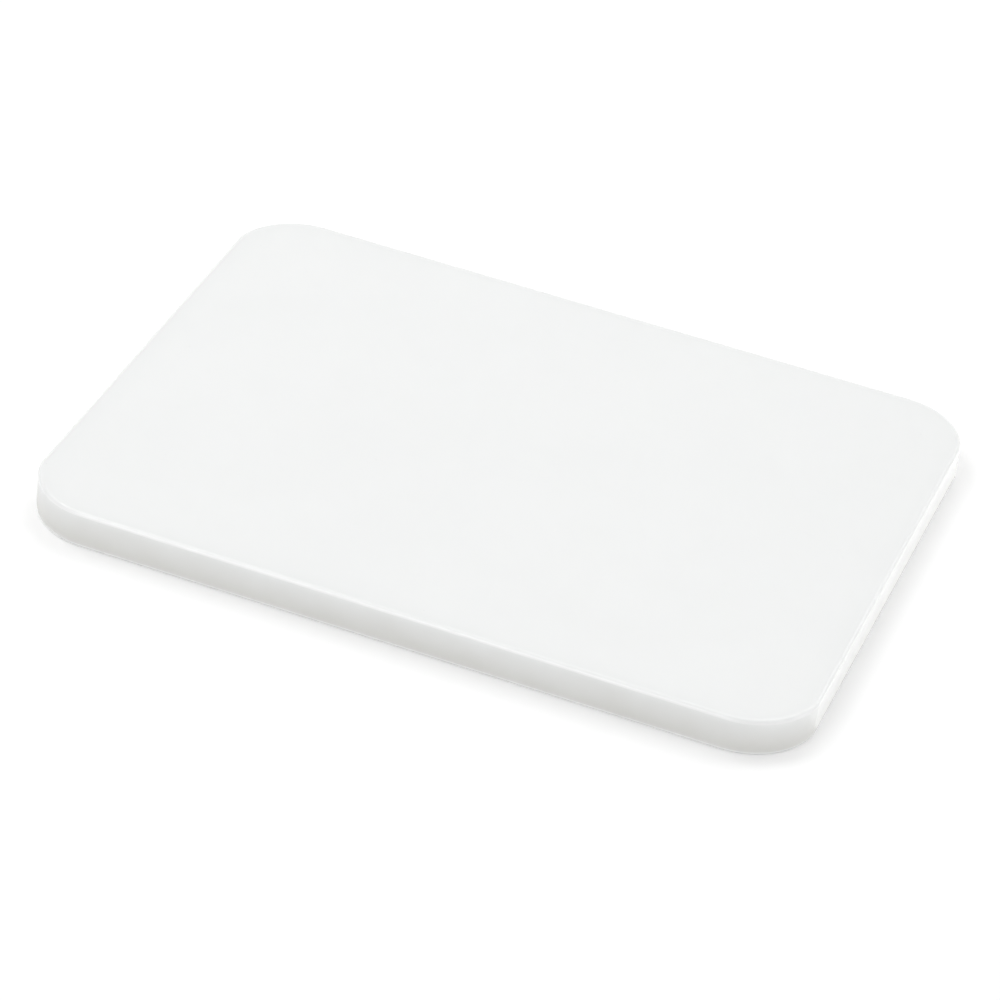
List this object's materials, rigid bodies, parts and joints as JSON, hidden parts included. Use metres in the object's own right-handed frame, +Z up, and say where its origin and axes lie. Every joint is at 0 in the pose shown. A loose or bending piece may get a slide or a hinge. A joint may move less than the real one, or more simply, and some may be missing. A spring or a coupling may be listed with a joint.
{
  "type": "cutting board",
  "caption": "Flat one-piece slab of white polyethylene to cut food on, the same on both faces, with wide round corners and softly eased edges.",
  "frame": {"origin": "middle of the underside, the flat face that the board rests on", "axes": "+X along the board's length, +Y across its width, +Z up through its thickness, out of the cutting face"},
  "size_m": [0.4, 0.3, 0.02],
  "materials": {
    "white_polyethylene": "satin"
  },
  "bodies": {
    "root": {"board": "white_polyethylene"}
  },
  "joints": []
}
